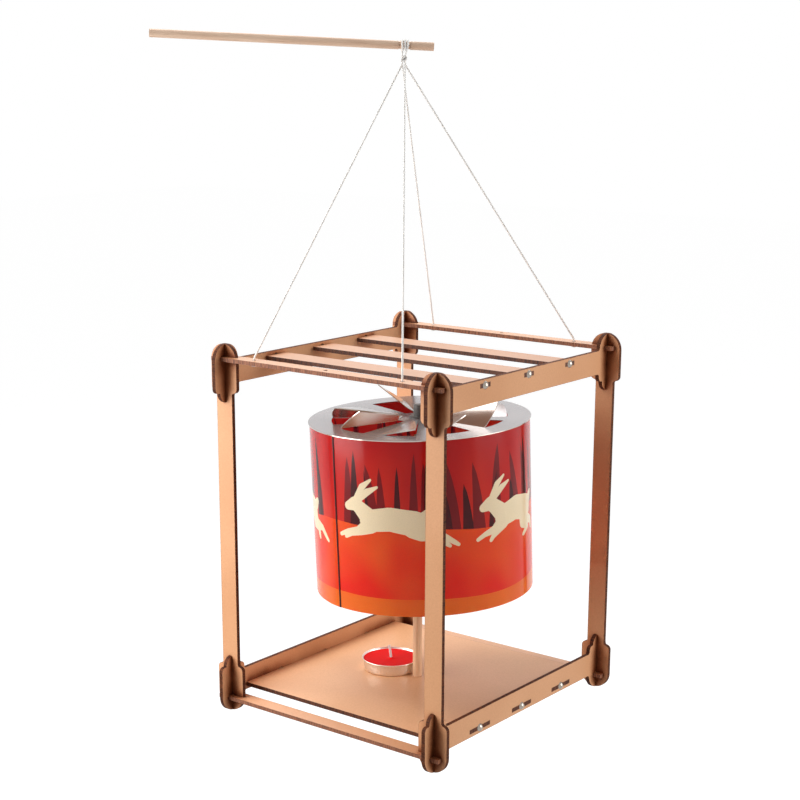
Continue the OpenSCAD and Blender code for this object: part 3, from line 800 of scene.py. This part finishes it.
def make_film():
    flat, triangles, inks = print_layout()
    count = len(flat)
    verts = [rolled(p.x, p.y, FILM_T / 2) for p in flat] + [rolled(p.x, p.y, -FILM_T / 2) for p in flat]
    faces = [tuple(t) for t in triangles] + [tuple(i + count for i in t[::-1]) for t in triangles]
    face_inks = inks + inks
    used = {}
    for t in triangles:
        for a, b in zip(t, t[1:] + t[:1]):
            used[(a, b)] = True
    for a, b in used:
        if (b, a) not in used:
            faces.append((b, a, a + count, b + count))
            face_inks.append(SEAM)
    piece = make_piece("drum_film_printed", verts, faces, film_materials(), "drum", ["drum_film"])
    mesh = piece.data
    mesh.polygons.foreach_set("material_index", face_inks)
    layer = mesh.uv_layers.new(name="print")
    for loop in mesh.loops:
        p = flat[loop.vertex_index % count]
        layer.data[loop.index].uv = (p.x / STRIP_L, p.y / FILM_H)


# Tealight

CUP_SIDES = 192
CUP_FLUTES = 48
FLUTE_DEPTH = 0.05
WAX_SIDES = 96
WAX_Z = 6.6
WICK_D = 1.6
WICK_TOP = 15.6
WICK_LAY = 3.0 * MM
WICK_STEP = 0.15 * MM
WICK_PASSES = 8


def cup_wobble(radius, height, angle):
    """Shallow flutes that deep drawing leaves in the thin wall."""
    wall = smoothstep((height - 1.2) / 1.2) * smoothstep((7.2 - height) / 1.0)
    return radius + FLUTE_DEPTH * wall * math.cos(CUP_FLUTES * angle), height


def wax_wobble(radius, height, angle):
    """The wax sets a little uneven."""
    top = smoothstep((height - 5.5) / 0.6)
    swell = 0.06 * math.sin(2 * angle + 0.7 * radius) + 0.04 * math.sin(5 * angle - radius)
    return radius, height + top * swell * (1 - radius / 20)


def make_tealight():
    outside = [(0, 0.12), (14.6, 0.12), (15.4, 0.0), (16.8, 0.0), (17.3, 0.25), (17.6, 0.8), (17.75, 1.6),
               (17.9, 3.0), (18.15, 5.2), (18.35, 6.9), (18.45, 7.2)]
    bead = [(18.75 + 0.25 * math.cos(a), 7.65 + 0.35 * math.sin(a))
            for a in np.linspace(math.radians(-120), math.radians(200), 12)]
    inside = [(18.1, 7.0), (17.85, 5.2), (17.45, 1.6), (17.1, 0.7), (16.6, 0.4), (0, 0.4)]
    verts, faces = lathe(outside + bead + inside, CUP_SIDES, cup_wobble)
    make_piece("candle_cup_drawn", [CANDLE + v * MM for v in verts], faces, [CUP_METAL], "tealight",
               ["candle_cup"])
    top = [(17.85, WAX_Z + 0.35), (17.4, WAX_Z + 0.08), (16.5, WAX_Z), (12.0, WAX_Z - 0.12),
           (7.0, WAX_Z - 0.15), (3.0, WAX_Z - 0.05), (1.6, WAX_Z + 0.15), (0.9, WAX_Z + 0.7),
           (0, WAX_Z + 0.9)]
    bottom = [(0, 0.45), (16.5, 0.45), (17.0, 0.8), (17.35, 1.6), (17.75, 5.2)]
    verts, faces = lathe(bottom + top, WAX_SIDES, wax_wobble)
    make_piece("candle_wax_set", [CANDLE + v * MM for v in verts], faces, [WAX], "tealight",
               ["candle_wax"])
    spine = [(0, 0, 0.9), (0, 0, WAX_Z), (-0.1, -0.05, 9.0), (-0.4, -0.3, 12.0), (-0.9, -0.7, WICK_TOP - 0.1)]
    placed = [CANDLE + Vector(point) * MM for point in spine]
    route = soften(resample(placed, WICK_STEP), WICK_PASSES)
    verts, faces = plied_tube(route, WICK_D / 2 * MM, WICK_LAY)
    make_piece("candle_wick_braided", verts, faces, [WICK], "tealight", ["candle_wick"])


# Floor, world and lamps

FLOOR_DROP = 250 * MM
FLOOR_HALF = 6000 * MM
FLOOR_GLOW = 0.965
FLOOR_PAPER = (0.5, 0.5, 0.5, 1.0)
FLOOR_SHADE = (0.2, 0.2, 0.2, 1.0)
WORLD_FILL = 0.15
WORLD_SEEN = 1.0

# Area lamps: place from the lantern's ground and size in metres, power in watts
LAMP_AIM = (0, 0, 0.13)
LAMPS = {
    "key_softbox": ((-0.40, -0.48, 0.25), 0.45, 0.5, 4.7),
    "side_softbox": ((1.2, 0.48, 0.4), 0.9, 0.9, 12.0),
    "back_softbox": ((-0.35, 0.75, 0.95), 1.0, 0.6, 5.0),
    "top_softbox": ((-0.50, -0.12, 0.90), 0.8, 0.8, 7.1),
}


def seen_as_background(tree):
    """1 for rays that show the background: from the camera, in reflections and through anything clear."""
    path = tree.nodes.new("ShaderNodeLightPath")
    seen = math_node(tree, "MAXIMUM", path.outputs["Is Camera Ray"], path.outputs["Is Glossy Ray"])
    return math_node(tree, "MAXIMUM", seen, path.outputs["Is Transmission Ray"])


def make_floor():
    z = POST_LOW.z - FLOOR_DROP
    mesh = bpy.data.meshes.new("floor")
    corners = [(-FLOOR_HALF, -FLOOR_HALF, z), (FLOOR_HALF, -FLOOR_HALF, z),
               (FLOOR_HALF, FLOOR_HALF, z), (-FLOOR_HALF, FLOOR_HALF, z)]
    mesh.from_pydata(corners, [], [(0, 1, 2, 3)])
    floor = bpy.data.objects.new("floor", mesh)
    bpy.context.scene.collection.objects.link(floor)
    material = bpy.data.materials.new("floor_white")
    material.use_nodes = True
    tree = material.node_tree
    tree.nodes.remove(tree.nodes["Principled BSDF"])
    paper = node(tree, "ShaderNodeBsdfDiffuse", {"Color": FLOOR_PAPER})
    shade = node(tree, "ShaderNodeBsdfDiffuse", {"Color": FLOOR_SHADE})
    glow = node(tree, "ShaderNodeEmission", {"Color": (1, 1, 1, 1), "Strength": FLOOR_GLOW})
    white = node(tree, "ShaderNodeAddShader", {0: shade.outputs[0], 1: glow.outputs[0]})
    mixed = node(tree, "ShaderNodeMixShader",
                 {0: seen_as_background(tree), 1: paper.outputs[0], 2: white.outputs[0]})
    tree.links.new(mixed.outputs[0], tree.nodes["Material Output"].inputs["Surface"])
    mesh.materials.append(material)


def make_world():
    world = bpy.data.worlds.new("studio")
    bpy.context.scene.world = world
    world.use_nodes = True
    tree = world.node_tree
    background = tree.nodes["Background"]
    background.inputs["Color"].default_value = (1, 1, 1, 1)
    strength = spread(tree, seen_as_background(tree), 0, 1, WORLD_FILL, WORLD_SEEN)
    tree.links.new(strength, background.inputs["Strength"])


def make_lamp(name, place, width, height, watts):
    data = bpy.data.lights.new(name, "AREA")
    data.shape = "RECTANGLE"
    data.size = width
    data.size_y = height
    data.energy = watts
    lamp = bpy.data.objects.new(name, data)
    lamp.location = GROUND + Vector(place)
    aim = GROUND + Vector(LAMP_AIM) - lamp.location
    lamp.rotation_euler = aim.to_track_quat("-Z", "Y").to_euler()
    lamp.visible_camera = False
    bpy.context.scene.collection.objects.link(lamp)


make_camera()
make_strings()
paint_cad_nodes()
make_film()
make_tealight()
make_floor()
make_world()
for lamp_name, (lamp_place, lamp_w, lamp_h, lamp_watts) in LAMPS.items():
    make_lamp(lamp_name, lamp_place, lamp_w, lamp_h, lamp_watts)
bpy.context.scene.view_settings.view_transform = "Standard"
